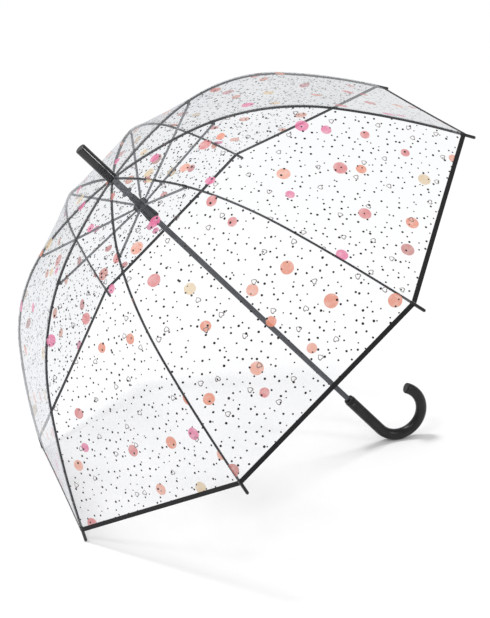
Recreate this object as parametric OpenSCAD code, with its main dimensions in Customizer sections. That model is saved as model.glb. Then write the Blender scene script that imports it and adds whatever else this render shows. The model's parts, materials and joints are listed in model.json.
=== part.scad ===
// Clear dome umbrella with a crook handle, standing open on two rib tips and the crook.
// The umbrella is modelled upright, its hem plane at z = 0 and its crown up, then leant into place.

/* [Canopy] */
// Distance from the shaft's axis to each corner of the hem
open_r = 500; // [450:5:560]
// Number of ribs, and of film gores
rib_count = 8; // [8]
// Slope of each rib where it leaves the crown, in degrees below level
root_slope = 1.4; // [0:0.2:3]
// Length of the gently curved stretch of a rib next to the crown
crown_len = 144; // [130:1:150]
// Bending radius of that stretch
crown_bend = 814; // [700:1:900]
// Length of the tightly curved shoulder of a rib
shoulder_len = 258; // [240:1:265]
// Bending radius of the shoulder
shoulder_bend = 387; // [370:1:410]
// Bending radius of the lower stretch of a rib
skirt_bend = 1415; // [1200:5:2000]
// Thickness of the film
film_t = 0.5; // [0.4:0.1:0.8]
// Width of the hem tape
tape_w = 8; // [6:0.5:10]
// Thickness of the hem tape
tape_t = 1.4; // [1:0.1:2]

/* [Ribs] */
// Diameter of a rib
rib_d = 3.2; // [2.8:0.1:3.4]
// Width of a rib, across its depth
rib_w = 2.3; // [2:0.1:2.4]
// Radius of the circle on which the ribs hinge at the crown
hinge_r = 8.5; // [8.2:0.1:9]
// Distance along a rib from the crown to its stretcher's clip
clip_at = 194; // [185:1:200]
// Distance along a rib from the crown to the point where its bending is shared out
flex_at = 300; // [280:1:320]
// Diameter of a rib tip
tip_d = 5.4; // [5:0.1:6]
// How far a rib tip stands out past the hem
tip_out = 18; // [14:1:22]

/* [Shaft and runner] */
// Diameter of the shaft
shaft_d = 10; // [10]
// Wall of the shaft
shaft_wall = 0.6; // [0.5:0.1:0.8]
// Height of the runner's wire ring above the hem plane
runner_z = 257.5; // [250:0.5:262]
// Radius of the runner's toothed hub
runner_r = 14; // [13.6:0.1:15]
// Length of the runner's skirt below its hub
skirt_h = 30; // [26:1:32]
// Length of the runner's neck above its hub
neck_h = 18.5; // [16:0.5:20]
// Length of the stop sleeve under the crown
sleeve_h = 32; // [28:1:34]

/* [Ferrule and handle] */
// Diameter of the ferrule
ferrule_d = 19.5; // [18:0.5:22]
// Length of the ferrule
ferrule_h = 76; // [60:1:80]
// Diameter of the grip
grip_d = 20.5; // [20:0.5:22]
// Depth of the grip's mouth below the hem plane
grip_drop = 306.5; // [300:0.5:320]
// Length of the grip's straight part
grip_len = 97; // [90:1:120]
// Radius of the crook, at the middle of the grip
crook_r = 47.5; // [45:0.5:55]
// How far the crook turns, in degrees
crook_turn = 205; // [180:1:215]
// Diameter of the release button
button_d = 6; // [5:0.5:6.5]

/* [Hidden] */
$fn = 64;
bar_fn = 360;
wire_d = 1.2;
running = 0.06;
snug = 0.02;
gap = 0.2;
through = 20;
half_gore = 180 / rib_count;
gore_cos = cos(half_gore);
rib_r = rib_d / 2;
shaft_r = shaft_d / 2;

// A rib is three arcs. Each has its first slope, its radius, its length and its first point.
function turn_of(length, bend) = length / bend * 180 / PI;
slope_a = root_slope;
slope_b = slope_a + turn_of(crown_len, crown_bend);
slope_c = slope_b + turn_of(shoulder_len, shoulder_bend);
reach_a = crown_bend * (sin(slope_b) - sin(slope_a));
drop_a = crown_bend * (cos(slope_a) - cos(slope_b));
reach_b = shoulder_bend * (sin(slope_c) - sin(slope_b));
drop_b = shoulder_bend * (cos(slope_b) - cos(slope_c));
// The last arc ends at the hem's corner, and its end slope follows from the reach that is left.
reach_c = open_r - hinge_r - reach_a - reach_b;
slope_d = asin(sin(slope_c) + reach_c / skirt_bend);
skirt_len = skirt_bend * (slope_d - slope_c) * PI / 180;
drop_c = skirt_bend * (cos(slope_c) - cos(slope_d));
crown_z = drop_a + drop_b + drop_c;
rib_len = crown_len + shoulder_len + skirt_len;
start_a = [hinge_r, crown_z];
start_b = start_a + [reach_a, -drop_a];
start_c = start_b + [reach_b, -drop_b];
function centre_of(start, slope, bend) = start - bend * [sin(slope), cos(slope)];
centre_a = centre_of(start_a, slope_a, crown_bend);
centre_b = centre_of(start_b, slope_b, shoulder_bend);
centre_c = centre_of(start_c, slope_c, skirt_bend);

// The slope of a rib and its middle point, at a distance along it from the crown.
function slope_at(s) =
    s < crown_len ? slope_a + turn_of(s, crown_bend)
    : s < crown_len + shoulder_len ? slope_b + turn_of(s - crown_len, shoulder_bend)
    : slope_c + turn_of(s - crown_len - shoulder_len, skirt_bend);
function rib_at(s) =
    s < crown_len ? centre_a + crown_bend * [sin(slope_at(s)), cos(slope_at(s))]
    : s < crown_len + shoulder_len ? centre_b + shoulder_bend * [sin(slope_at(s)), cos(slope_at(s))]
    : centre_c + skirt_bend * [sin(slope_at(s)), cos(slope_at(s))];
clip = rib_at(clip_at);
clip_slope = slope_at(clip_at);
flex = rib_at(flex_at);
flex_slope = slope_at(flex_at);

// Rib tips: the last of each rib is straight, inside its cap.
cap_in = 9;
cap_lead = 4;
stub_at = rib_len - cap_in - cap_lead;
stub = rib_at(stub_at);
stub_slope = slope_at(stub_at);
stub_len = 24;
cap_len = cap_in + tip_out;
tip_centre = stub + (cap_lead + cap_len - tip_d / 2) * [cos(stub_slope), -sin(stub_slope)];
// Stretches of a bar meet in a bead or band, a little fatter than the bar.
bead = 0.1;
bead_gap = 0.3;
band_len = 3;

// The outer rib's cup sits on a knuckle at the inner rib's end.
knuckle_r = 1.9;
knuckle_gap = 0.6;
cup_room = 0.15;
clip_r = 1.9;
clip_wall = 0.7;
clip_len = 10;
lug_w = 1.8;
lug_len = 6;
lug_r = 3;
// A rib's eye on the crown's wire, and its thinned root.
eye_r = 1.75;
eye_room = 0.15;
root_w = 2;

// Stretchers run from a clip's pin to just outside the runner's wire.
pin_drop = 4.2;
pin_d = 2;
pin = clip + pin_drop * [-sin(clip_slope), -cos(clip_slope)];
wire_ring_r = 12.2;
tongue_r = wire_ring_r + wire_d / 2 + 0.4;
stretch_reach = pin.x - tongue_r;
stretch_drop = pin.y - runner_z;
stretch_slope = atan(stretch_drop / stretch_reach);
stretch_len = norm([stretch_reach, stretch_drop]);
channel_w = 3.2;
channel_h = 2.8;
channel_wall = 0.6;

// Film lies outside the ribs.
film_in = rib_r + 0.8;
film_out = film_in + film_t;
tape_mid = (film_in + film_out) / 2;
film_hole_r = 8;
upper_bands = 15;
lower_bands = 16;

// Catches sit behind the shaft, in slots of its wall.
catch_w = 1.2;
catch_h = 14;
catch_out = 2;
catch_in = 2.4;
catch_sunk = 0.4;
catch_land = 2;
catch_side = 90;
catch_low = 6;
top_catch_z = runner_z - skirt_h - catch_low;
runner_travel = 309;
keyway_in = 24;
bottom_catch_z = top_catch_z - runner_travel + keyway_in;

// Crown, ferrule and handle.
notch_r = 11.5;
notch_top = 1.5;
notch_low = 4;
ferrule_z = crown_z + film_out + 0.4;
shaft_in_ferrule = 44;
shaft_in_grip = 55;
shaft_top = ferrule_z + shaft_in_ferrule;
shaft_low = -grip_drop - shaft_in_grip;
collar_h = 6;
collar_step = 0.8;
grip_r = grip_d / 2;
collar_r = grip_r - collar_step;
crook_z = -grip_drop - grip_len;
button_low = 5.5;
button_z = -grip_drop - collar_h - button_low;
button_in = 6;
button_out = 1.2;

// The lean puts two rib tips and the crook's lowest edge on the floor, by the line under both circles.
foot = [-tip_centre.x * gore_cos, tip_centre.y];
foot_r = tip_d / 2;
heel = [crook_r, crook_z];
heel_r = crook_r + grip_r;
foot_to_heel = heel - foot;
lean = atan2(-foot_to_heel.y, foot_to_heel.x) + asin((heel_r - foot_r) / norm(foot_to_heel));
function leant(p) = [p.x * cos(lean) - p.y * sin(lean), p.x * sin(lean) + p.y * cos(lean)];
floor_z = leant(foot).y - foot_r;
shift_x = 7.9;

module place() {
    translate([shift_x, 0, -floor_z])
        rotate([0, -lean, 0])
            children();
}

// Turns to rib n, numbered round from the rib just above the back of the crook's plane.
module at_rib(n) {
    rotate([0, 0, half_gore + (n - 1) * 2 * half_gore])
        children();
}

// Turns to the gore between rib n and the next one.
module at_gore(n) {
    rotate([0, 0, n * 2 * half_gore])
        children();
}

// A flat-sided bar bent to an arc in the rib's own plane, between two slopes.
module arc_bar(centre, bend, slope_from, slope_to) {
    translate([centre.x, 0, centre.y])
        rotate([90, 0, 0])
            rotate([0, 0, 90 - slope_to])
                rotate_extrude(angle = slope_to - slope_from, $fn = bar_fn)
                    translate([bend - rib_r, -rib_w / 2])
                        square([2 * rib_r, rib_w]);
}

// A pressed band round a rib, which joins two stretches whose ends stop just short of a point.
module rib_band(point, slope) {
    along(point, slope)
        cube([2 * (rib_r + bead), rib_w + 2 * bead, band_len], center = true);
}

// Stands a child on a point of the rib's plane, with its own z along the rib towards the tip.
module along(point, slope) {
    translate([point.x, 0, point.y])
        rotate([0, 90 + slope, 0])
            children();
}

// A cylinder across the rib's plane.
module cross_pin(point, radius, length) {
    translate([point.x, 0, point.y])
        rotate([90, 0, 0])
            cylinder(r = radius, h = length, center = true);
}

module ring(major, minor, z) {
    translate([0, 0, z])
        rotate_extrude()
            translate([major, 0])
                circle(r = minor);
}

// A round bar with one rounded end, up from z = 0.
module rounded_bar(radius, length, edge) {
    rotate_extrude() {
        square([radius - edge, length]);
        square([radius, length - edge]);
        translate([radius - edge, length - edge])
            circle(r = edge);
    }
}

module slots(count, first, width, inner, outer, low, high) {
    for (n = [0:count - 1])
        rotate([0, 0, first + n * 360 / count])
            translate([inner, -width / 2, low])
                cube([outer - inner, width, high - low]);
}

module shaft() {
    color([0.10, 0.10, 0.11])
        place()
            difference() {
                translate([0, 0, shaft_low])
                    cylinder(r = shaft_r, h = shaft_top - shaft_low);
                translate([0, 0, shaft_low - 1])
                    cylinder(r = shaft_r - shaft_wall, h = shaft_top - shaft_low + 2);
                catch_slot(top_catch_z);
                catch_slot(bottom_catch_z);
                button_hole(button_d / 2 + 0.2);
            }
}

module catch_slot(z) {
    rotate([0, 0, catch_side])
        translate([0, -catch_w / 2 - gap, z - catch_h - 0.5])
            cube([shaft_d, catch_w + 2 * gap, catch_h + 1]);
}

module button_hole(radius) {
    translate([0, 0, button_z])
        rotate([90, 0, 0])
            cylinder(r = radius, h = grip_d);
}

// A leaf catch: square at one end, sloping away to the other so that the runner rides over it.
module leaf_catch(z, square_end, slope_end) {
    color([0.62, 0.63, 0.65])
        place()
            rotate([0, 0, catch_side])
                translate([0, catch_w / 2, z])
                    rotate([90, 0, 0])
                        linear_extrude(catch_w)
                            polygon([
                                [catch_in, slope_end],
                                [shaft_r - catch_sunk, slope_end],
                                [shaft_r + catch_out, square_end + sign(slope_end - square_end) * catch_land],
                                [shaft_r + catch_out, square_end],
                                [catch_in, square_end]
                            ]);
}

// The open runner rests on the top catch's square end.
module top_catch() {
    leaf_catch(top_catch_z, 0, -catch_h);
}

// The bottom catch holds the closed runner down, inside its keyway.
module bottom_catch() {
    leaf_catch(bottom_catch_z, -catch_h, 0);
}

module ferrule() {
    edge = 2;
    bore_past = 0.5;
    color([0.05, 0.05, 0.06])
        place()
            difference() {
                translate([0, 0, ferrule_z])
                    rounded_bar(ferrule_d / 2, ferrule_h, edge);
                translate([0, 0, ferrule_z - 1])
                    cylinder(r = shaft_r + snug, h = shaft_top - ferrule_z + 1 + bore_past);
            }
}

module crown_notch() {
    slot_w = 2.4;
    slot_in = 6.3;
    slot_past = 5;
    color([0.25, 0.26, 0.28])
        place()
            difference() {
                translate([0, 0, crown_z - notch_low])
                    cylinder(r = notch_r, h = notch_low + notch_top);
                translate([0, 0, crown_z - notch_low - 1])
                    cylinder(r = shaft_r + snug, h = notch_low + notch_top + 2);
                slots(rib_count, half_gore, slot_w, slot_in, through, crown_z - notch_low - 1, crown_z + slot_past);
                ring(hinge_r, wire_d / 2 + snug, crown_z);
            }
}

module notch_wire() {
    color([0.6, 0.6, 0.62])
        place()
            ring(hinge_r, wire_d / 2, crown_z);
}

module stop_sleeve() {
    low = crown_z - notch_low - gap - sleeve_h;
    sleeve_r = 6.1;
    flange_r = 10.2;
    flange_h = 1.8;
    cone_r = 8.4;
    cone_h = 3;
    color([0.33, 0.35, 0.38])
        place()
            difference() {
                union() {
                    translate([0, 0, low])
                        cylinder(r = sleeve_r, h = sleeve_h);
                    translate([0, 0, low])
                        cylinder(r = flange_r, h = flange_h);
                    translate([0, 0, low + flange_h])
                        cylinder(r1 = cone_r, r2 = sleeve_r, h = cone_h);
                }
                translate([0, 0, low - 1])
                    cylinder(r = shaft_r + snug, h = sleeve_h + 2);
            }
}

module runner() {
    hub_h = 4;
    core_r = 7.2;
    neck_r = 6.3;
    rim_r = 10.6;
    rim_h = 2.5;
    fin_w = 1.8;
    fin_foot = 6;
    slot_w = 2.2;
    slot_in = 10.4;
    low = runner_z - hub_h - skirt_h;
    color([0.22, 0.24, 0.27])
        place()
            difference() {
                union() {
                    translate([0, 0, runner_z - hub_h])
                        cylinder(r = runner_r, h = 2 * hub_h);
                    translate([0, 0, runner_z + hub_h])
                        cylinder(r = neck_r, h = neck_h);
                    translate([0, 0, low])
                        cylinder(r = core_r, h = skirt_h);
                    translate([0, 0, low])
                        cylinder(r = rim_r, h = rim_h);
                    for (n = [0:rib_count - 1])
                        rotate([0, 0, n * 2 * half_gore])
                            translate([0, fin_w / 2, low + 1])
                                rotate([90, 0, 0])
                                    linear_extrude(fin_w)
                                        polygon([
                                            [core_r - 1, 0],
                                            [rim_r, 0],
                                            [rim_r, fin_foot],
                                            [core_r + 1, skirt_h],
                                            [core_r - 1, skirt_h]
                                        ]);
                }
                translate([0, 0, low - 1])
                    cylinder(r = shaft_r + running, h = skirt_h + 2 * hub_h + neck_h + 2);
                slots(rib_count, half_gore, slot_w, slot_in, through, runner_z - hub_h - 1, runner_z + hub_h + 1);
                ring(wire_ring_r, wire_d / 2 + snug, runner_z);
                // The keyway lets the runner pass over both catches.
                rotate([0, 0, catch_side])
                    translate([0, -catch_w / 2 - gap, low - 1])
                        cube([shaft_r + catch_out + gap, catch_w + 2 * gap, skirt_h + 2 * hub_h + neck_h + 2]);
            }
}

module runner_wire() {
    color([0.6, 0.6, 0.62])
        place()
            ring(wire_ring_r, wire_d / 2, runner_z);
}

module handle() {
    tail = 4;
    overlap = 2;
    end_edge = 2.5;
    bore_len = 100;
    color([0.12, 0.12, 0.13])
        place()
            difference() {
                union() {
                    translate([0, 0, crook_z + bead_gap])
                        cylinder(r = grip_r, h = grip_len - collar_h - gap - bead_gap);
                    translate([0, 0, crook_z])
                        sphere(r = grip_r + bead);
                    translate([crook_r, 0, crook_z])
                        rotate([90, 0, 0])
                            rotate([0, 0, 180])
                                rotate_extrude(angle = crook_turn)
                                    translate([crook_r, 0])
                                        circle(r = grip_r);
                    translate([crook_r, 0, crook_z])
                        rotate([0, -crook_turn, 0])
                            translate([-crook_r, 0, overlap])
                                rotate([180, 0, 0])
                                    rounded_bar(grip_r - bead, tail + overlap, end_edge);
                }
                translate([0, 0, shaft_low - 0.5])
                    cylinder(r = shaft_r + snug, h = bore_len);
                button_hole(button_d / 2 + 0.1);
            }
}

module grip_collar() {
    edge = 2.5;
    color([0.10, 0.10, 0.11])
        place()
            difference() {
                translate([0, 0, -grip_drop - collar_h])
                    rounded_bar(collar_r, collar_h, edge);
                translate([0, 0, -grip_drop - collar_h - 1])
                    cylinder(r = shaft_r + snug, h = collar_h + 2);
            }
}

module release_button() {
    color([0.16, 0.16, 0.17])
        place()
            translate([0, -button_in + 2, button_z])
                rotate([90, 0, 0])
                    rounded_bar(button_d / 2, grip_r + button_out - button_in + 2, 1);
}

// The inner rib: an eye on the crown's wire, two arcs, the stretcher's clip and a knuckle at its end.
module rib_inner(n) {
    color([0.12, 0.13, 0.14])
        place()
            at_rib(n)
                difference() {
                    union() {
                        cross_pin(start_a, eye_r, root_w);
                        arc_bar(centre_a, crown_bend, slope_a, slope_b - turn_of(bead_gap, crown_bend));
                        rib_band(start_b, slope_b);
                        arc_bar(centre_b, shoulder_bend, slope_b, flex_slope - turn_of(knuckle_gap, shoulder_bend));
                        cross_pin(flex, knuckle_r, rib_w);
                        along(clip, clip_slope)
                            cube([2 * clip_r, rib_w + 2 * clip_wall, clip_len], center = true);
                        along(clip, clip_slope)
                            translate([0, -lug_w / 2, -lug_len / 2])
                                cube([pin_drop, lug_w, lug_len]);
                        cross_pin(pin, lug_r, lug_w);
                    }
                    cross_pin(start_a, wire_d / 2 + eye_room, through);
                    // The root is thinned to fit its slot in the crown notch.
                    for (side = [-1, 1])
                        translate([0, side * (root_w + through) / 2, crown_z])
                            cube([2 * notch_r + 2, through, through], center = true);
                    cross_pin(pin, pin_d / 2 + running, through);
                }
}

// The outer rib: a cup on the inner rib's knuckle, two arcs and a straight end for the tip.
module rib_outer(n) {
    color([0.12, 0.13, 0.14])
        place()
            at_rib(n)
                difference() {
                    union() {
                        arc_bar(centre_b, shoulder_bend, flex_slope, slope_c - turn_of(bead_gap, shoulder_bend));
                        rib_band(start_c, slope_c);
                        arc_bar(centre_c, skirt_bend, slope_c, stub_slope);
                        rib_band(stub, stub_slope);
                        along(stub, stub_slope)
                            translate([0, 0, bead_gap])
                                cylinder(r = rib_r, h = stub_len - bead_gap);
                    }
                    cross_pin(flex, knuckle_r + cup_room, 2 * rib_d);
                }
}

module rib_tip(n) {
    color([0.06, 0.06, 0.07])
        place()
            at_rib(n)
                along(stub, stub_slope)
                    difference() {
                        union() {
                            translate([0, 0, cap_lead])
                                cylinder(r = tip_d / 2, h = cap_len - tip_d / 2);
                            translate([0, 0, cap_lead + cap_len - tip_d / 2])
                                sphere(r = tip_d / 2);
                        }
                        translate([0, 0, cap_lead - 1])
                            cylinder(r = rib_r + snug, h = stub_len - cap_lead + 1.5);
                    }
}

// A stretcher: a channel, a fork and pin at the rib's clip, and a flat tongue at the runner.
module stretcher(n) {
    ear = channel_wall;
    ear_r = 1.6;
    clear_of_clip = 7;
    tongue = 12;
    tongue_w = 1.6;
    mouth = 5;
    color([0.20, 0.21, 0.23])
        place()
            at_rib(n)
                translate([pin.x, 0, pin.y])
                    rotate([0, -stretch_slope, 0])
                        difference() {
                            union() {
                                translate([-stretch_len + tongue, -channel_w / 2, -channel_h / 2])
                                    cube([stretch_len - tongue, channel_w, channel_h]);
                                translate([-stretch_len, -tongue_w / 2, -channel_h / 2])
                                    cube([tongue + 1, tongue_w, channel_h]);
                                rotate([90, 0, 0])
                                    cylinder(r = ear_r, h = channel_w, center = true);
                            }
                            // The channel opens downwards, and wholly between the fork's ears.
                            translate([-stretch_len + tongue + 1, ear - channel_w / 2, -channel_h])
                                cube([stretch_len, channel_w - 2 * ear, channel_h * 1.5 - ear]);
                            translate([-clear_of_clip, ear - channel_w / 2, -mouth])
                                cube([clear_of_clip + mouth, channel_w - 2 * ear, 2 * mouth]);
                        }
    color([0.6, 0.6, 0.62])
        place()
            at_rib(n)
                cross_pin(pin, pin_d / 2, channel_w + 1);
}

// Points of the film's profile in a gore's middle plane, at a distance out from the ribs' middle line.
function film_point(s, out) =
    let (p = rib_at(s) + out * [sin(slope_at(s)), cos(slope_at(s))])
    [p.x * gore_cos, p.y];
function steps(from, to, count) = [for (n = [0:count]) from + (to - from) * n / count];

// A band of film or tape between two distances along the ribs, flat from rib to rib.
module band(from, to, count, inner, outer) {
    marks = steps(from, to, count);
    intersection() {
        translate([0, open_r, 0])
            rotate([90, 0, 0])
                linear_extrude(2 * open_r)
                    polygon(concat(
                        [for (s = marks) film_point(s, outer)],
                        [for (n = [count:-1:0]) film_point(marks[n], inner)]
                    ));
        wedge();
    }
}

// The space between two ribs' planes, less a narrow gap at each.
module wedge() {
    far = 1.3 * open_r;
    translate([gap / 2 / sin(half_gore), 0, -open_r])
        linear_extrude(2 * open_r)
            polygon([
                [0, 0],
                [far * cos(half_gore), -far * sin(half_gore)],
                [far * cos(half_gore), far * sin(half_gore)]
            ]);
}

module gore_upper(n) {
    film_len = flex_at - gap;
    color([0.86, 0.88, 0.90, 0.35])
        place()
            at_gore(n)
                difference() {
                    band(0, film_len, upper_bands, film_in, film_out);
                    cylinder(r = film_hole_r, h = 2 * crown_z);
                }
}

module gore_lower(n) {
    tape_from = rib_len - tape_w;
    color([0.86, 0.88, 0.90, 0.35])
        place()
            at_gore(n)
                difference() {
                    band(flex_at + gap, tape_from - gap, lower_bands, film_in, film_out);
                    cap_room();
                }
    color([0.06, 0.06, 0.07])
        place()
            at_gore(n)
                difference() {
                    band(tape_from, rib_len, 1, tape_mid - tape_t / 2, tape_mid + tape_t / 2);
                    cap_room();
                }
}

// Room for the rib tips at both ends of a gore's hem.
module cap_room() {
    ends = 2;
    clear = 0.3;
    for (side = [-1, 1])
        rotate([0, 0, side * half_gore])
            along(stub, stub_slope)
                translate([0, 0, cap_lead - ends])
                    cylinder(r = tape_mid + tape_t / 2 + clear, h = cap_len + 2 * ends);
}

shaft();
ferrule();
crown_notch();
notch_wire();
stop_sleeve();
runner();
runner_wire();
top_catch();
bottom_catch();
handle();
grip_collar();
release_button();
for (n = [1:rib_count]) {
    rib_inner(n);
    rib_outer(n);
    rib_tip(n);
    stretcher(n);
    gore_upper(n);
    gore_lower(n);
}
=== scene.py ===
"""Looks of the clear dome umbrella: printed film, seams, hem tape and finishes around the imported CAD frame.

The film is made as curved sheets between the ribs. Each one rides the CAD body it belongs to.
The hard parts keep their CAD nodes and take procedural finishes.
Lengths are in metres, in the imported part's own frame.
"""

import json
import logging
import math
from dataclasses import dataclass, field
from enum import Enum
from functools import cached_property
from typing import Callable, Sequence

import bmesh
import bpy
from mathutils import Matrix, Vector

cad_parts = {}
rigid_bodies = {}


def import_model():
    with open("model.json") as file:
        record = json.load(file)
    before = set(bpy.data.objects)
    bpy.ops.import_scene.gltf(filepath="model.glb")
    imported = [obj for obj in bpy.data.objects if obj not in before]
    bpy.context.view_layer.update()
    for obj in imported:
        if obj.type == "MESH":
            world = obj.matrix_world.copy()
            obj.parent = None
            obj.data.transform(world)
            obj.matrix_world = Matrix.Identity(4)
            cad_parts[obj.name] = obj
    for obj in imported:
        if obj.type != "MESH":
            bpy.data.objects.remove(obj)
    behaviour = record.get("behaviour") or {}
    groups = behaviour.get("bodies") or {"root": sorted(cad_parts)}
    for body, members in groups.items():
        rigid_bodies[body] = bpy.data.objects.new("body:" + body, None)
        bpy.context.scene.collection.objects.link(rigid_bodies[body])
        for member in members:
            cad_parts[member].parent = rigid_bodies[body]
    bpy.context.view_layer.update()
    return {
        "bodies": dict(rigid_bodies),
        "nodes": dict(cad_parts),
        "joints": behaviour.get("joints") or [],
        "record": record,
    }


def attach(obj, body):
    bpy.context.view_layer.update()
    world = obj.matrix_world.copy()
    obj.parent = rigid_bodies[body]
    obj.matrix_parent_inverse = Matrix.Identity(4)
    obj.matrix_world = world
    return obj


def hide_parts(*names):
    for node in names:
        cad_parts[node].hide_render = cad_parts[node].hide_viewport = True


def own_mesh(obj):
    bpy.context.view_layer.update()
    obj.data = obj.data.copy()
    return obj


LOG = logging.getLogger("umbrella")
RIB_COUNT = 8
HALF_GORE = math.pi / RIB_COUNT
MM = 0.001
FILM_CELLS = {"upper": (36, 44), "lower": (36, 52)}
TAPE_CELLS = (48, 4)
SEAM_CELLS = (6, 44)
SHARP_ANGLE = math.radians(50)

PlacePoint = Callable[[float, float], Vector]
PlaceUV = Callable[[float, float], tuple[float, float]]


class Slot(str, Enum):
    """Names of two of the record's material slots; no piece here takes its finish from them."""

    FILM = "film"
    SATIN = "black_satin"


class Zone(str, Enum):
    """The two stretches of a gore, either side of its fold line."""

    UPPER = "upper"
    LOWER = "lower"


# ---------------------------------------------------------------- shape of the dome


@dataclass(frozen=True)
class Dome:
    """The curve of a rib and the lean of the open umbrella.

    A rib is three arcs end to end. Distances along it are measured from the crown.
    Slopes are in radians below level.
    """

    open_radius: float = 0.500
    root_slope: float = math.radians(1.4)
    crown_length: float = 0.144
    crown_bend: float = 0.814
    shoulder_length: float = 0.258
    shoulder_bend: float = 0.387
    skirt_bend: float = 1.415
    hinge_radius: float = 0.0085
    flex_at: float = 0.300
    tip_diameter: float = 0.0054
    tip_reach: float = 0.018
    stub_back: float = 0.013
    crook_radius: float = 0.0475
    grip_diameter: float = 0.0205
    crook_drop: float = 0.4035
    shift: float = 0.0079

    @cached_property
    def slopes(self) -> tuple[float, float, float, float]:
        """Slopes at the crown, at both joins between arcs, and at the hem."""
        first = self.root_slope
        second = first + self.crown_length / self.crown_bend
        third = second + self.shoulder_length / self.shoulder_bend
        reach = self.hinge_radius + self.crown_bend * (math.sin(second) - math.sin(first))
        reach += self.shoulder_bend * (math.sin(third) - math.sin(second))
        last = math.asin(math.sin(third) + (self.open_radius - reach) / self.skirt_bend)
        return first, second, third, last

    @cached_property
    def length(self) -> float:
        """Length of a rib from the crown to the hem."""
        return self.crown_length + self.shoulder_length + self.skirt_bend * (self.slopes[3] - self.slopes[2])

    @cached_property
    def crown_height(self) -> float:
        """Height of the crown over the hem, along the shaft."""
        first, second, third, last = self.slopes
        return (
            self.crown_bend * (math.cos(first) - math.cos(second))
            + self.shoulder_bend * (math.cos(second) - math.cos(third))
            + self.skirt_bend * (math.cos(third) - math.cos(last))
        )

    @staticmethod
    def centre(start: Vector, slope: float, bend: float) -> Vector:
        """Centre of an arc that leaves a point at a slope.

        Args:
            start: the point, as distance from the shaft and height.
            slope: slope there.
            bend: radius of the arc.

        Returns:
            The arc's centre.
        """
        return start - bend * Vector((math.sin(slope), math.cos(slope)))

    @cached_property
    def centres(self) -> tuple[Vector, Vector, Vector]:
        """Centres of the three arcs."""
        first, second, third, _ = self.slopes
        start = Vector((self.hinge_radius, self.crown_height))
        one = self.centre(start, first, self.crown_bend)
        start = one + self.crown_bend * Vector((math.sin(second), math.cos(second)))
        two = self.centre(start, second, self.shoulder_bend)
        start = two + self.shoulder_bend * Vector((math.sin(third), math.cos(third)))
        return one, two, self.centre(start, third, self.skirt_bend)

    def slope(self, s: float) -> float:
        """Slope of a rib at a distance along it.

        Args:
            s: distance from the crown.

        Returns:
            The slope in radians below level.
        """
        first, second, third, _ = self.slopes
        shoulder_end = self.crown_length + self.shoulder_length
        if s < self.crown_length:
            return first + s / self.crown_bend
        if s < shoulder_end:
            return second + (s - self.crown_length) / self.shoulder_bend
        return third + (s - shoulder_end) / self.skirt_bend

    def profile(self, s: float, out: float = 0.0) -> Vector:
        """Point over a rib's middle line.

        Args:
            s: distance along the rib from the crown.
            out: distance outwards from the rib's middle line.

        Returns:
            Distance from the shaft's axis, and height over the hem.
        """
        one, two, three = self.centres
        if s < self.crown_length:
            middle, bend = one, self.crown_bend
        elif s < self.crown_length + self.shoulder_length:
            middle, bend = two, self.shoulder_bend
        else:
            middle, bend = three, self.skirt_bend
        slope = self.slope(s)
        return middle + (bend + out) * Vector((math.sin(slope), math.cos(slope)))

    @cached_property
    def lean(self) -> float:
        """Turn that puts two rib tips and the crook on the floor."""
        stub_at = self.length - self.stub_back
        stub, slope = self.profile(stub_at), self.slope(stub_at)
        past = self.stub_back + self.tip_reach - self.tip_diameter / 2
        tip = stub + past * Vector((math.cos(slope), -math.sin(slope)))
        foot = Vector((-tip.x * math.cos(HALF_GORE), tip.y))
        heel = Vector((self.crook_radius, -self.crook_drop))
        span = heel - foot
        drop = self.crook_radius + self.grip_diameter / 2 - self.tip_diameter / 2
        return math.atan2(-span.y, span.x) + math.asin(drop / span.length)

    @cached_property
    def placing(self) -> Matrix:
        """Matrix from the umbrella's own frame, z up its shaft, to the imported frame."""
        turned = Matrix.Rotation(-self.lean, 4, "Y")
        heel = turned @ Vector((self.crook_radius, 0.0, -self.crook_drop))
        floor = heel.z - self.crook_radius - self.grip_diameter / 2
        return Matrix.Translation((self.shift, 0.0, -floor)) @ turned

    def at(self, radius: float, azimuth: float, height: float) -> Vector:
        """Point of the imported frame.

        Args:
            radius: distance from the shaft's axis.
            azimuth: turn about the shaft, in radians.
            height: height over the hem.

        Returns:
            The point.
        """
        return self.placing @ Vector((radius * math.cos(azimuth), radius * math.sin(azimuth), height))

    def on_gore(self, gore: int, s: float, across: float, out: float) -> Vector:
        """Point of a gore, which runs straight from rib to rib.

        Args:
            gore: the gore's number.
            s: distance along the ribs from the crown.
            across: -1 at one rib, 1 at the next.
            out: distance outwards from the ribs' middle lines.

        Returns:
            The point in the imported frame.
        """
        flat = self.profile(s, out)
        turned = Matrix.Rotation(gore * 2 * HALF_GORE, 4, "Z")
        side = across * flat.x * math.sin(HALF_GORE)
        return self.placing @ (turned @ Vector((flat.x * math.cos(HALF_GORE), side, flat.y)))

    def flat_length(self, start: float, end: float, steps: int = 60) -> float:
        """Length of a gore's middle line once it is laid flat.

        Args:
            start: distance along the ribs where it starts.
            end: distance where it ends.
            steps: number of straight pieces that it is measured in.

        Returns:
            The length.
        """
        total, last = 0.0, self.profile(start)
        for n in range(1, steps + 1):
            here = self.profile(start + (end - start) * n / steps)
            total += math.hypot((here.x - last.x) * math.cos(HALF_GORE), here.y - last.y)
            last = here
        return total

    def flat_area(self, start: float, end: float, steps: int = 60) -> float:
        """Area of a stretch of a gore.

        Args:
            start: distance along the ribs where it starts.
            end: distance where it ends.
            steps: number of strips that it is measured in.

        Returns:
            The area in square metres.
        """
        total, step = 0.0, (end - start) / steps
        for n in range(steps):
            s = start + step * n
            width = 2 * self.profile(s + step / 2).x * math.sin(HALF_GORE)
            total += width * self.flat_length(s, s + step, 1)
        return total


# ---------------------------------------------------------------- mesh tools


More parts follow.
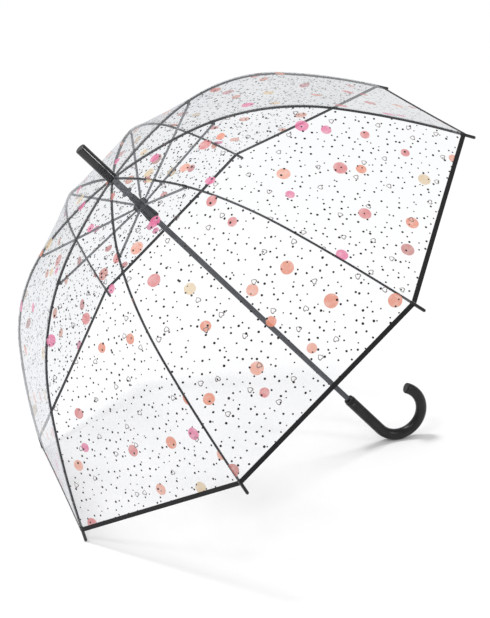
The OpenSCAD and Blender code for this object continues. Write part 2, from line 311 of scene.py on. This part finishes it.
def deselect() -> None:
    """Leaves nothing selected or active, in object mode."""
    if bpy.context.mode != "OBJECT":
        bpy.ops.object.mode_set(mode="OBJECT")
    bpy.ops.object.select_all(action="DESELECT")


def shaped_grid(name: str, cells: tuple[int, int], point: PlacePoint, uv: PlaceUV) -> bpy.types.Object:
    """Makes a sheet from a grid primitive whose points are moved to a surface.

    Args:
        name: the object's name.
        cells: how many cells it has across and along.
        point: gives a point of the surface from two numbers, each from -1 to 1.
        uv: gives the print's place from the same two numbers, in metres.

    Returns:
        The sheet, smooth shaded.
    """
    deselect()
    bpy.ops.mesh.primitive_grid_add(x_subdivisions=cells[0], y_subdivisions=cells[1], size=2)
    made = bpy.context.active_object
    made.name = made.data.name = name
    bpy.ops.object.mode_set(mode="EDIT")
    mesh = bmesh.from_edit_mesh(made.data)
    layer = mesh.loops.layers.uv.verify()
    for face in mesh.faces:
        for loop in face.loops:
            loop[layer].uv = uv(loop.vert.co.x, loop.vert.co.y)
    for vert in mesh.verts:
        vert.co = point(vert.co.x, vert.co.y)
    bmesh.update_edit_mesh(made.data)
    bpy.ops.object.mode_set(mode="OBJECT")
    bpy.ops.object.shade_smooth()
    return made


def thicken(piece: bpy.types.Object, thickness: float, round_off: float = 0.0) -> None:
    """Gives a sheet a thickness about its middle, and rounded edges.

    Args:
        piece: the sheet.
        thickness: its thickness.
        round_off: radius of its edges, or 0 to leave them sharp.
    """
    deselect()
    piece.select_set(True)
    bpy.context.view_layer.objects.active = piece
    solid = piece.modifiers.new("wall", "SOLIDIFY")
    solid.thickness, solid.offset = thickness, 0.0
    bpy.ops.object.modifier_apply(modifier=solid.name)
    if round_off:
        bevel = piece.modifiers.new("edge", "BEVEL")
        bevel.width, bevel.segments, bevel.limit_method = round_off, 2, "ANGLE"
        bevel.angle_limit = SHARP_ANGLE
        bpy.ops.object.modifier_apply(modifier=bevel.name)


def tube(name: str, start: Vector, end: Vector, radius: float, lip: float) -> bpy.types.Object:
    """Makes a short closed sleeve with a rounded end.

    Args:
        name: the object's name.
        start: middle of one end.
        end: middle of the other end.
        radius: outer radius.
        lip: radius of the rounded edges.

    Returns:
        The sleeve.
    """
    deselect()
    axis = end - start
    bpy.ops.mesh.primitive_cylinder_add(vertices=24, radius=radius, depth=axis.length)
    made = bpy.context.active_object
    made.name = made.data.name = name
    bpy.ops.object.mode_set(mode="EDIT")
    mesh = bmesh.from_edit_mesh(made.data)
    rims = [edge for edge in mesh.edges if edge.calc_face_angle(0) > SHARP_ANGLE]
    bmesh.ops.bevel(mesh, geom=rims, offset=lip, segments=3, profile=0.6, affect="EDGES")
    turn = axis.to_track_quat("Z", "Y").to_matrix().to_4x4()
    bmesh.ops.transform(mesh, matrix=Matrix.Translation((start + end) / 2) @ turn, verts=mesh.verts)
    bmesh.update_edit_mesh(made.data)
    bpy.ops.mesh.select_all(action="SELECT")
    bpy.ops.mesh.normals_make_consistent(inside=False)
    bpy.ops.object.mode_set(mode="OBJECT")
    bpy.ops.object.shade_smooth()
    return made


# ---------------------------------------------------------------- finishes

Colour = tuple[float, float, float]


class Nodes:
    """Short ways to add and join shader nodes of one material."""

    def __init__(self, name: str) -> None:
        """Starts an empty material.

        Args:
            name: the material's name.
        """
        self.material = bpy.data.materials.new(name)
        self.material.use_nodes = True
        self.tree = self.material.node_tree
        self.tree.nodes.clear()
        self.out = self.add("ShaderNodeOutputMaterial")

    def add(self, kind: str, **settings) -> bpy.types.Node:
        """Adds a node.

        Args:
            kind: the node's type.
            settings: its properties.

        Returns:
            The node.
        """
        made = self.tree.nodes.new(kind)
        for key, value in settings.items():
            setattr(made, key, value)
        return made

    def feed(self, socket: bpy.types.NodeSocket, value) -> None:
        """Joins or sets an input.

        Args:
            socket: the input.
            value: another node's output, a number, or a colour.
        """
        if isinstance(value, bpy.types.NodeSocket):
            self.tree.links.new(value, socket)
        elif isinstance(value, (tuple, list)) and len(value) == 3 and socket.type == "RGBA":
            socket.default_value = (*value, 1.0)
        else:
            socket.default_value = value

    def maths(self, operation: str, *values, clamp: bool = False) -> bpy.types.NodeSocket:
        """Adds a math node.

        Args:
            operation: the operation.
            values: its inputs.
            clamp: True to keep the result from 0 to 1.

        Returns:
            Its output.
        """
        made = self.add("ShaderNodeMath", operation=operation, use_clamp=clamp)
        for socket, value in zip(made.inputs, values):
            self.feed(socket, value)
        return made.outputs[0]

    def vector(self, operation: str, *values) -> bpy.types.Node:
        """Adds a vector math node.

        Args:
            operation: the operation.
            values: its inputs.

        Returns:
            The node.
        """
        made = self.add("ShaderNodeVectorMath", operation=operation)
        for socket, value in zip(made.inputs, values):
            self.feed(socket, value)
        return made

    def step(
        self, value, low: float, high: float, to_low: float = 0.0, to_high: float = 1.0
    ) -> bpy.types.NodeSocket:
        """Smoothly maps one range to another.

        Args:
            value: what is mapped.
            low: where the result is to_low.
            high: where the result is to_high.
            to_low: the result at low.
            to_high: the result at high.

        Returns:
            The mapped value.
        """
        made = self.add("ShaderNodeMapRange", interpolation_type="SMOOTHSTEP")
        for name, number in (("From Min", low), ("From Max", high), ("To Min", to_low), ("To Max", to_high)):
            self.feed(made.inputs[name], number)
        self.feed(made.inputs["Value"], value)
        return made.outputs["Result"]

    def mix(self, share, first, second) -> bpy.types.NodeSocket:
        """Mixes two colours.

        Args:
            share: share of the second.
            first: the first colour.
            second: the second colour.

        Returns:
            The mixed colour.
        """
        made = self.add("ShaderNodeMix", data_type="RGBA")
        self.feed(made.inputs["Factor"], share)
        self.feed(made.inputs[6], first)
        self.feed(made.inputs[7], second)
        return made.outputs[2]

    def noise(self, place, scale: float, detail: float = 3.0) -> bpy.types.Node:
        """Adds a noise texture.

        Args:
            place: where it is looked up.
            scale: how many features a metre.
            detail: how many finer layers it has.

        Returns:
            The node.
        """
        made = self.add("ShaderNodeTexNoise")
        self.feed(made.inputs["Vector"], place)
        self.feed(made.inputs["Scale"], scale)
        self.feed(made.inputs["Detail"], detail)
        return made


@dataclass(frozen=True)
class SolidFinish:
    """A hard or woven finish: two close tones, a grain in the gloss and a fine relief."""

    name: str
    light: Colour
    dark: Colour
    roughness: float
    spread: float
    metallic: float = 0.0
    coat: float = 0.0
    coat_roughness: float = 0.1
    relief: float = 0.05
    grain: float = 900.0
    specular: float = 0.5

    def build(self) -> bpy.types.Material:
        """Makes the material.

        Returns:
            The material.
        """
        kit = Nodes(self.name)
        place = kit.add("ShaderNodeTexCoord").outputs["Object"]
        clouds = kit.noise(place, self.grain / 25).outputs[0]
        grain = kit.noise(place, self.grain, 4.0).outputs[0]
        shader = kit.add("ShaderNodeBsdfPrincipled")
        kit.feed(shader.inputs["Base Color"], kit.mix(kit.step(clouds, 0.3, 0.7), self.dark, self.light))
        rough = kit.step(grain, 0.25, 0.75, self.roughness - self.spread, self.roughness + self.spread)
        kit.feed(shader.inputs["Roughness"], rough)
        kit.feed(shader.inputs["Metallic"], self.metallic)
        kit.feed(shader.inputs["Specular IOR Level"], self.specular)
        kit.feed(shader.inputs["Coat Weight"], self.coat)
        kit.feed(shader.inputs["Coat Roughness"], self.coat_roughness)
        bump = kit.add("ShaderNodeBump")
        kit.feed(bump.inputs["Strength"], self.relief)
        kit.feed(bump.inputs["Distance"], 0.2 * MM)
        kit.feed(bump.inputs["Height"], grain)
        kit.feed(shader.inputs["Normal"], bump.outputs[0])
        kit.feed(kit.out.inputs["Surface"], shader.outputs[0])
        return kit.material


@dataclass(frozen=True)
class TapeFinish:
    """Black woven binding tape."""

    name: str = "hem_weave"
    light: Colour = (0.012, 0.012, 0.014)
    dark: Colour = (0.003, 0.003, 0.004)
    pitch: float = 0.9 * MM

    def build(self) -> bpy.types.Material:
        """Makes the material.

        Returns:
            The material.
        """
        kit = Nodes(self.name)
        place = kit.add("ShaderNodeUVMap").outputs[0]
        split = kit.add("ShaderNodeSeparateXYZ")
        kit.feed(split.inputs[0], place)
        turns = math.tau / self.pitch
        warp = kit.maths("SINE", kit.maths("MULTIPLY", split.outputs[0], turns))
        weft = kit.maths("SINE", kit.maths("MULTIPLY", split.outputs[1], turns))
        weave = kit.maths("MULTIPLY_ADD", kit.maths("MULTIPLY", warp, weft), 0.5, 0.5)
        shader = kit.add("ShaderNodeBsdfPrincipled")
        kit.feed(shader.inputs["Base Color"], kit.mix(weave, self.dark, self.light))
        kit.feed(shader.inputs["Roughness"], kit.step(weave, 0.0, 1.0, 0.62, 0.45))
        kit.feed(shader.inputs["Specular IOR Level"], 0.25)
        bump = kit.add("ShaderNodeBump")
        kit.feed(bump.inputs["Strength"], 0.35)
        kit.feed(bump.inputs["Distance"], 0.25 * MM)
        kit.feed(bump.inputs["Height"], weave)
        kit.feed(shader.inputs["Normal"], bump.outputs[0])
        kit.feed(kit.out.inputs["Surface"], shader.outputs[0])
        return kit.material


@dataclass(frozen=True)
class ClearFinish:
    """Clear film, greyer and shinier where it is seen edge on, with an optional print."""

    name: str
    tint: Colour = (0.958, 0.964, 0.97)
    haze: Colour = (0.42, 0.43, 0.445)
    haze_low: float = 0.012
    haze_high: float = 0.40
    gloss: float = 0.50
    printed: bool = True
    dot_cell: float = 15.0 * MM
    spot_cell: float = 78.0 * MM
    heart_cell: float = 58.0 * MM
    heart_half: float = 4.6 * MM
    heart_shift: tuple[float, float, float] = (0.37, 0.83, 0.0)
    dot_radius: float = 1.05 * MM
    dot_spread: float = 1.0 * MM
    dot_dropped: float = 0.06
    spot_radius: float = 7.4 * MM
    spot_spread: float = 4.5 * MM
    spot_cover: float = 0.86
    ring_pitch: float = 2.6 * MM
    mark_dropped: float = 0.15
    line_cover: float = 0.9
    wobble: float = 1.4 * MM
    black: Colour = (0.008, 0.008, 0.010)
    brown: Colour = (0.055, 0.026, 0.022)
    pale: Colour = (0.95, 0.86, 0.80)
    # Inks of the spots, each with the random number from which it is taken.
    shades: tuple[tuple[float, Colour], ...] = (
        (0.00, (0.72, 0.085, 0.27)),
        (0.24, (0.66, 0.125, 0.13)),
        (0.44, (0.76, 0.19, 0.075)),
        (0.62, (0.80, 0.31, 0.20)),
        (0.76, (0.70, 0.52, 0.29)),
        (0.90, (0.52, 0.13, 0.11)),
    )
    veil_power: float = 3.8
    mirror_power: float = 5.0
    mirror_least: float = 0.04
    film_roughness: float = 0.22

    def cells(self, kit: Nodes, place, cell: float, loose: float) -> tuple:
        """Scatters one mark in each cell of the film.

        Args:
            kit: the material's nodes.
            place: the place on the flat film.
            cell: how far apart the marks are.
            loose: how far they stray from a grid, from 0 to 1.

        Returns:
            The distance from the nearest mark in metres, its random colour, and the place from its middle.
        """
        made = kit.add("ShaderNodeTexVoronoi", voronoi_dimensions="2D")
        kit.feed(made.inputs["Vector"], place)
        kit.feed(made.inputs["Scale"], 1 / cell)
        kit.feed(made.inputs["Randomness"], loose)
        distance = kit.maths("MULTIPLY", made.outputs["Distance"], cell)
        apart = kit.vector("SUBTRACT", place, made.outputs["Position"]).outputs[0]
        return distance, made.outputs["Color"], apart

    def disc(self, kit: Nodes, distance, radius, edge: float) -> bpy.types.NodeSocket:
        """Covers a disc.

        Args:
            kit: the material's nodes.
            distance: distance from its middle.
            radius: its radius.
            edge: width of its soft edge.

        Returns:
            1 inside and 0 outside.
        """
        past = kit.maths("DIVIDE", kit.maths("SUBTRACT", distance, radius), edge, clamp=True)
        return kit.maths("SUBTRACT", 1.0, past, clamp=True)

    def heart(self, kit: Nodes, apart, turn) -> bpy.types.NodeSocket:
        """Draws the outline of a heart.

        Args:
            kit: the material's nodes.
            apart: place from the heart's middle.
            turn: its turn in radians.

        Returns:
            1 on the line and 0 off it.
        """
        spun = kit.add("ShaderNodeVectorRotate", rotation_type="Z_AXIS")
        kit.feed(spun.inputs["Vector"], apart)
        kit.feed(spun.inputs["Angle"], turn)
        split = kit.add("ShaderNodeSeparateXYZ")
        sized = kit.vector("SCALE", spun.outputs[0])
        kit.feed(sized.inputs["Scale"], 1 / self.heart_half)
        kit.feed(split.inputs[0], sized.outputs[0])
        x = kit.maths("ABSOLUTE", split.outputs[0])
        lift = kit.maths("MULTIPLY", kit.maths("SQRT", x), 0.72)
        y = kit.maths("SUBTRACT", kit.maths("MULTIPLY", split.outputs[1], 1.12), lift)
        rim = kit.maths("SQRT", kit.maths("ADD", kit.maths("MULTIPLY", x, x), kit.maths("MULTIPLY", y, y)))
        off = kit.maths("ABSOLUTE", kit.maths("SUBTRACT", rim, 0.86))
        return kit.step(off, 0.12, 0.22, 1.0, 0.0)

    def ink(self, kit: Nodes) -> tuple[bpy.types.NodeSocket, bpy.types.NodeSocket]:
        """Draws the print: black dots, watercolour spots and brown hearts.

        Args:
            kit: the material's nodes.

        Returns:
            The ink's colour and how far it covers the film.
        """
        flat = kit.add("ShaderNodeUVMap").outputs[0]
        ripple = kit.noise(flat, 260.0, 2.0)
        wobble = kit.vector("SUBTRACT", ripple.outputs["Color"], (0.5, 0.5, 0.5)).outputs[0]
        small = kit.vector("MULTIPLY", wobble, (self.wobble, self.wobble, 0.0)).outputs[0]
        place = kit.vector("ADD", flat, small).outputs[0]

        distance, colour, _ = self.cells(kit, place, self.dot_cell, 0.9)
        lots = kit.add("ShaderNodeSeparateColor")
        kit.feed(lots.inputs[0], colour)
        radius = kit.maths("MULTIPLY_ADD", lots.outputs[0], self.dot_spread, self.dot_radius)
        dots = self.disc(kit, distance, radius, 0.25 * MM)
        # A few cells hold no dot.
        dots = kit.maths("MULTIPLY", dots, kit.maths("GREATER_THAN", lots.outputs[1], self.dot_dropped))

        distance, colour, _ = self.cells(kit, place, self.spot_cell, 0.85)
        lots = kit.add("ShaderNodeSeparateColor")
        kit.feed(lots.inputs[0], colour)
        radius = kit.maths("MULTIPLY_ADD", lots.outputs[1], self.spot_spread, self.spot_radius)
        spots = self.disc(kit, distance, radius, 0.5 * MM)
        spots = kit.maths("MULTIPLY", spots, kit.maths("GREATER_THAN", lots.outputs[2], self.mark_dropped))
        ramp = kit.add("ShaderNodeValToRGB")
        ramp.color_ramp.interpolation = "CONSTANT"
        while len(ramp.color_ramp.elements) < len(self.shades):
            ramp.color_ramp.elements.new(1.0)
        for element, (at, shade) in zip(ramp.color_ramp.elements, self.shades):
            element.position, element.color = at, (*shade, 1.0)
        kit.feed(ramp.inputs[0], lots.outputs[0])
        wash = kit.step(kit.noise(flat, 95.0, 4.0).outputs[0], 0.42, 0.68, 0.0, 0.22)
        rings = kit.maths("SINE", kit.maths("MULTIPLY", distance, math.tau / self.ring_pitch))
        wash = kit.maths("ADD", wash, kit.step(rings, 0.2, 1.0, 0.0, 0.08))
        wet = kit.mix(wash, ramp.outputs[0], self.pale)

        shifted = kit.vector("ADD", flat, self.heart_shift).outputs[0]
        _, colour, apart = self.cells(kit, shifted, self.heart_cell, 0.8)
        lots = kit.add("ShaderNodeSeparateColor")
        kit.feed(lots.inputs[0], colour)
        turn = kit.maths("MULTIPLY_ADD", lots.outputs[0], 1.2, -0.6)
        kept = kit.maths("GREATER_THAN", lots.outputs[1], self.mark_dropped)
        hearts = kit.maths("MULTIPLY", self.heart(kit, apart, turn), kept)

        inked = kit.mix(dots, kit.mix(hearts, wet, self.brown), self.black)
        lines = kit.maths("MAXIMUM", dots, kit.maths("MULTIPLY", hearts, self.line_cover))
        cover = kit.maths("MAXIMUM", kit.maths("MULTIPLY", spots, self.spot_cover), lines)
        return inked, cover

    def build(self) -> bpy.types.Material:
        """Makes the material.

        Returns:
            The material.
        """
        kit = Nodes(self.name)
        place = kit.add("ShaderNodeTexCoord").outputs["Object"]
        facing = kit.add("ShaderNodeLayerWeight")
        kit.feed(facing.inputs["Blend"], 0.5)
        edge = kit.maths("POWER", facing.outputs["Facing"], self.veil_power)
        cloud = kit.step(kit.noise(place, 7.0, 3.0).outputs[0], 0.3, 0.7, 0.75, 1.25)
        veil = kit.maths("MULTIPLY_ADD", edge, self.haze_high - self.haze_low, self.haze_low)
        veil = kit.maths("MULTIPLY", veil, cloud, clamp=True)
        bump = kit.add("ShaderNodeBump")
        kit.feed(bump.inputs["Strength"], 0.25)
        kit.feed(bump.inputs["Distance"], 2.0 * MM)
        kit.feed(bump.inputs["Height"], kit.noise(place, 14.0, 3.0).outputs[0])

        colour, cover = self.ink(kit) if self.printed else (self.haze, 0.0)
        shader = kit.add("ShaderNodeBsdfPrincipled")
        kit.feed(shader.inputs["Base Color"], kit.mix(cover, self.haze, colour))
        kit.feed(shader.inputs["Roughness"], 0.45)
        kit.feed(shader.inputs["Specular IOR Level"], 0.2)
        kit.feed(shader.inputs["Normal"], bump.outputs[0])
        clear = kit.add("ShaderNodeBsdfTransparent")
        kit.feed(clear.inputs["Color"], self.tint)
        body = kit.add("ShaderNodeMixShader")
        kit.feed(body.inputs[0], kit.maths("MAXIMUM", veil, cover))
        kit.feed(body.inputs[1], clear.outputs[0])
        kit.feed(body.inputs[2], shader.outputs[0])
        shine = kit.add("ShaderNodeBsdfGlossy")
        kit.feed(shine.inputs["Color"], (0.9, 0.92, 0.95))
        kit.feed(shine.inputs["Roughness"], self.film_roughness)
        kit.feed(shine.inputs["Normal"], bump.outputs[0])
        mirror = kit.maths("POWER", facing.outputs["Facing"], self.mirror_power)
        mirror = kit.maths("MULTIPLY_ADD", mirror, 1 - self.mirror_least, self.mirror_least)
        skin = kit.add("ShaderNodeMixShader")
        kit.feed(skin.inputs[0], kit.maths("MULTIPLY", mirror, self.gloss))
        kit.feed(skin.inputs[1], body.outputs[0])
        kit.feed(skin.inputs[2], shine.outputs[0])
        kit.feed(kit.out.inputs["Surface"], skin.outputs[0])
        return kit.material


# ---------------------------------------------------------------- sub-assemblies


@dataclass
class Studio:
    """Camera, floor and lights."""

    place: Vector = field(default_factory=lambda: Vector((-0.7846, -2.6625, 1.3485)))
    right: Vector = field(default_factory=lambda: Vector((0.9541, -0.2984, -0.0239)))
    up: Vector = field(default_factory=lambda: Vector((0.1260, 0.3280, 0.9362)))
    lens: float = 96.9
    shift: tuple[float, float] = (-0.004, -0.004)
    floor_side: float = 60.0
    sun_from: Vector = field(default_factory=lambda: Vector((-0.30, 0.22, 1.0)))
    sun_power: float = 1.55
    sun_spread: float = math.radians(14)
    sky_strength: float = 0.61
    lamps_aim: Vector = field(default_factory=lambda: Vector((0.0, 0.0, 0.3)))

    def camera(self) -> None:
        """Makes the camera and sets the scene to it."""
        data = bpy.data.cameras.new("eye")
        data.lens, data.sensor_width = self.lens, 36.0
        data.shift_x, data.shift_y = self.shift
        data.clip_start, data.clip_end = 0.05, 100.0
        eye = bpy.data.objects.new("eye", data)
        right = self.right.normalized()
        back = right.cross(self.up).normalized()
        up = back.cross(right)
        turn = Matrix((right, up, back)).transposed()
        eye.matrix_world = Matrix.Translation(self.place) @ turn.to_4x4()
        bpy.context.scene.collection.objects.link(eye)
        bpy.context.scene.camera = eye

    def floor(self) -> None:
        """Makes the plain white floor."""
        finish = Nodes("floor_white")
        shader = finish.add("ShaderNodeBsdfDiffuse")
        finish.feed(shader.inputs["Color"], (0.93, 0.93, 0.935))
        finish.feed(finish.out.inputs["Surface"], shader.outputs[0])
        deselect()
        bpy.ops.mesh.primitive_plane_add(size=self.floor_side)
        floor = bpy.context.active_object
        floor.name = "floor"
        floor.data.materials.append(finish.material)

    def lamp(self, name: str, place: Sequence[float], size: float, power: float) -> None:
        """Makes a soft square lamp that faces the umbrella.

        Args:
            name: the lamp's name.
            place: where it is.
            size: its side.
            power: its power in watts.
        """
        data = bpy.data.lights.new(name, "AREA")
        data.size, data.energy = size, power
        lamp = bpy.data.objects.new(name, data)
        lamp.location = place
        lamp.rotation_mode = "QUATERNION"
        lamp.rotation_quaternion = (Vector(place) - self.lamps_aim).to_track_quat("Z", "Y")
        bpy.context.scene.collection.objects.link(lamp)

    def light(self) -> None:
        """Lights the scene softly from all round, with a key from above the left."""
        world = bpy.data.worlds.new("studio")
        world.use_nodes = True
        sky = world.node_tree.nodes["Background"].inputs
        sky["Color"].default_value = (1.0, 1.0, 1.0, 1.0)
        sky["Strength"].default_value = self.sky_strength
        bpy.context.scene.world = world
        bpy.context.scene.view_settings.view_transform = "Standard"
        sun = bpy.data.lights.new("sky", "SUN")
        sun.energy, sun.angle = self.sun_power, self.sun_spread
        high = bpy.data.objects.new("sky", sun)
        high.rotation_mode = "QUATERNION"
        high.rotation_quaternion = self.sun_from.to_track_quat("Z", "Y")
        bpy.context.scene.collection.objects.link(high)
        self.lamp("streak", (-1.3, -1.3, 2.3), 0.45, 11.0)
        self.lamp("fill", (2.1, -1.85, 1.35), 0.32, 9.0)

    def build(self) -> None:
        """Makes the whole studio, camera first."""
        self.camera()
        self.floor()
        self.light()


@dataclass
class Canopy:
    """Printed film sheets, their rib seams and the hem tape."""

    dome: Dome
    film_out: float = 2.65 * MM
    tape_width: float = 8.0 * MM
    tape_thickness: float = 1.1 * MM
    seam_half: float = 1.3 * MM
    keep: float = 0.05
    sag: float = 3.0 * MM
    fold: float = 0.5 * MM
    cut_over: float = 1.01
    corner_gap: float = 2.8 * MM
    tape_edge: float = 0.3 * MM
    weld_out: float = 0.5 * MM
    weld_from: float = 20 * MM
    sleeve_ends: tuple[float, float] = (24 * MM, 9.4 * MM)
    sleeve_radius: float = 2.05 * MM
    print_stride: tuple[float, float] = (0.613, 0.871)

    def relief(self, s: float, across: float, gore: int) -> float:
        """How far the film strays from a flat pull between ribs.

        Args:
            s: distance along the ribs.
            across: -1 at one rib, 1 at the next.
            gore: the gore's number.

        Returns:
            The distance outwards.
        """
        share = s / self.dome.length
        middle = 1 - across * across
        sag = -self.sag * middle * math.sin(math.pi * min(share, 1.0) ** 1.5 * 0.9)
        phase = 1.7 * gore
        fold = 0.7 * math.sin(9.0 * across + 26.0 * share + phase)
        fold += 0.5 * math.sin(5.0 * across - 15.0 * share + 2 * phase)
        edge = math.sin(math.pi * min(1.0, share)) ** 2
        return sag + self.fold * fold * middle * edge

    def sheet(
        self, gore: int, zone: Zone, finish: bpy.types.Material
    ) -> bpy.types.Object:
        """Makes one stretch of a gore's film.

        Args:
            gore: the gore's number.
            zone: which stretch.
            finish: its material.

        Returns:
            The sheet.
        """
        dome = self.dome
        tape_from = dome.length - self.tape_width / 2
        start, end = (0.0, dome.flex_at) if zone is Zone.UPPER else (dome.flex_at, tape_from)
        sine = math.sin(HALF_GORE)

        def along(v: float) -> float:
            return start + (end - start) * (v + 1) / 2

        def point(u: float, v: float) -> Vector:
            s = along(v)
            return dome.on_gore(gore, s, u, self.film_out + self.relief(s, u, gore))

        def uv(u: float, v: float) -> tuple[float, float]:
            s = along(v)
            side = u * dome.profile(s).x * sine
            return side + gore * self.print_stride[0], s + gore * self.print_stride[1]

        made = shaped_grid(f"film_{zone.value}_{gore}", FILM_CELLS[zone.value], point, uv)
        made.data.materials.append(finish)
        width = 2 * dome.profile(end).x * sine
        cut = (width * self.cut_over, dome.flat_length(start, end) * self.cut_over)
        dome.flat_area(start, end)
        return made

    def tape(self, gore: int, finish: bpy.types.Material) -> bpy.types.Object:
        """Makes a gore's hem tape.

        Args:
            gore: the gore's number.
            finish: its material.

        Returns:
            The tape.
        """
        dome = self.dome
        half = dome.profile(dome.length).x * math.sin(HALF_GORE)
        reach = 1 - self.corner_gap / half

        def along(v: float) -> float:
            return dome.length - self.tape_width * (1 - v) / 2

        def point(u: float, v: float) -> Vector:
            s, across = along(v), u * reach
            return dome.on_gore(gore, s, across, self.film_out + self.relief(s, across, gore))

        def uv(u: float, v: float) -> tuple[float, float]:
            return u * half, v * self.tape_width / 2

        made = shaped_grid(f"hem_tape_{gore}", TAPE_CELLS, point, uv)
        thicken(made, self.tape_thickness, self.tape_edge)
        made.data.materials.append(finish)
        return made

    def seam(self, rib: int, zone: Zone, finish: bpy.types.Material) -> bpy.types.Object:
        """Makes the welded seam over a rib.

        Args:
            rib: the rib's number.
            zone: which stretch.
            finish: its material.

        Returns:
            The seam.
        """
        dome = self.dome
        start, end = self.weld_from, dome.flex_at
        if zone is Zone.LOWER:
            start, end = dome.flex_at, dome.length - self.tape_width
        azimuth = (2 * rib - 1) * HALF_GORE

        def point(u: float, v: float) -> Vector:
            s = start + (end - start) * (v + 1) / 2
            out = self.film_out + self.weld_out - abs(u) ** 1.5 * self.seam_half * 0.36
            flat = dome.profile(s, out)
            side = Matrix.Rotation(azimuth, 4, "Z") @ Vector((flat.x, u * self.seam_half, flat.y))
            return dome.placing @ side

        def uv(u: float, v: float) -> tuple[float, float]:
            return u * self.seam_half, v * 0.3

        made = shaped_grid(f"seam_{zone.value}_{rib}", SEAM_CELLS, point, uv)
        made.data.materials.append(finish)
        return made

    def pocket(self, rib: int, finish: bpy.types.Material) -> bpy.types.Object:
        """Makes the clear sleeve round a rib just above its tip.

        Args:
            rib: the rib's number.
            finish: its material.

        Returns:
            The sleeve.
        """
        dome = self.dome
        azimuth = (2 * rib - 1) * HALF_GORE
        ends = [dome.profile(dome.length - back) for back in self.sleeve_ends]
        start, end = (dome.at(p.x, azimuth, p.y) for p in ends)
        made = tube(f"pocket_{rib}", start, end, self.sleeve_radius, self.tape_edge)
        made.data.materials.append(finish)
        return made

    def build(self) -> None:
        """Makes every piece of the canopy and hangs it on its body."""
        film = ClearFinish("film_printed").build()
        dark, clear = (0.02, 0.021, 0.024), (0.20, 0.20, 0.21)
        weld = ClearFinish("film_weld", haze=dark, haze_low=0.34, haze_high=0.6, gloss=0.1, printed=False).build()
        sleeve = ClearFinish("sleeve_clear", haze=clear, haze_low=0.6, haze_high=0.9, printed=False).build()
        tape = TapeFinish().build()
        axis_at = self.dome.at(0.0, 0.0, 0.0)
        turn = self.dome.placing.to_3x3()
        for n in range(1, RIB_COUNT + 1):
            hem = self.tape(n, tape)
            upper = self.sheet(n, Zone.UPPER, film)
            lower = self.sheet(n, Zone.LOWER, film)
            for piece, body in ((upper, "gore_upper"), (lower, "gore_lower"), (hem, "gore_lower")):
                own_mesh(piece)
                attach(piece, f"{body}_{n}")
            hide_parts(f"gore_upper_{n}")
            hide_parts(f"gore_lower_{n}")
            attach(self.seam(n, Zone.UPPER, weld), f"rib_inner_{n}")
            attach(self.seam(n, Zone.LOWER, weld), f"rib_outer_{n}")
            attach(self.pocket(n, sleeve), f"rib_outer_{n}")
        LOG.info("canopy of %d gores made", RIB_COUNT)


@dataclass
class Hardware:
    """Finishes of the CAD pieces that are shown as they are."""

    frame: dict

    def finishes(self) -> dict[str, SolidFinish]:
        """Chooses a finish for each start of a node's name.

        Returns:
            The finishes, by the start of the node's name.
        """
        black = SolidFinish(
            "shaft_black", (0.070, 0.074, 0.085), (0.050, 0.053, 0.062), 0.34, 0.05, 0.45, 0.2, relief=0.03
        )
        gloss = SolidFinish(
            "moulded_gloss", (0.008, 0.008, 0.010), (0.004, 0.004, 0.005), 0.14, 0.03, specular=0.6, relief=0.02
        )
        satin = SolidFinish(
            "handle_satin", (0.009, 0.009, 0.010), (0.005, 0.005, 0.006), 0.30, 0.05, specular=0.32, grain=1500.0
        )
        grey = SolidFinish("moulded_grey", (0.105, 0.110, 0.125), (0.070, 0.074, 0.085), 0.40, 0.06)
        dark = SolidFinish("moulded_dark", (0.034, 0.036, 0.043), (0.020, 0.021, 0.026), 0.38, 0.06)
        wire = SolidFinish("bright_wire", (0.62, 0.63, 0.66), (0.45, 0.46, 0.49), 0.28, 0.06, 1.0, relief=0.03)
        spring = SolidFinish("spring_steel", (0.40, 0.41, 0.44), (0.28, 0.29, 0.31), 0.32, 0.06, 1.0, relief=0.03)
        rod = SolidFinish("rib_steel", (0.024, 0.025, 0.029), (0.013, 0.014, 0.017), 0.38, 0.06, 0.3, relief=0.04)
        channel = SolidFinish(
            "stretcher_steel", (0.20, 0.207, 0.225), (0.15, 0.156, 0.17), 0.40, 0.07, 0.25, relief=0.04
        )
        return {
            "shaft": black,
            "ferrule": gloss,
            "rib_tip": gloss,
            "release_button": gloss,
            "handle": satin,
            "grip_collar": satin,
            "crown_notch": grey,
            "stop_sleeve": grey,
            "runner_wire": wire,
            "notch_wire": wire,
            "runner": dark,
            "top_catch": spring,
            "bottom_catch": spring,
            "rib_": rod,
            "stretcher": channel,
        }

    def build(self) -> None:
        """Gives each shown CAD node its finish."""
        finishes = self.finishes()
        made: dict[str, bpy.types.Material] = {}
        for name, node in self.frame["nodes"].items():
            start = max((key for key in finishes if name.startswith(key)), key=len, default=None)
            if start is None:
                continue
            finish = finishes[start]
            if finish.name not in made:
                made[finish.name] = finish.build()
            node.data.materials.clear()
            node.data.materials.append(made[finish.name])
        LOG.info("%d finishes on the CAD nodes", len(made))


def main() -> None:
    """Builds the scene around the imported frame."""
    logging.basicConfig(level=logging.INFO)
    for found in list(bpy.data.objects):
        bpy.data.objects.remove(found)
    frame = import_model()
    Studio().build()
    Canopy(Dome()).build()
    Hardware(frame).build()


if __name__ == "__main__":
    main()
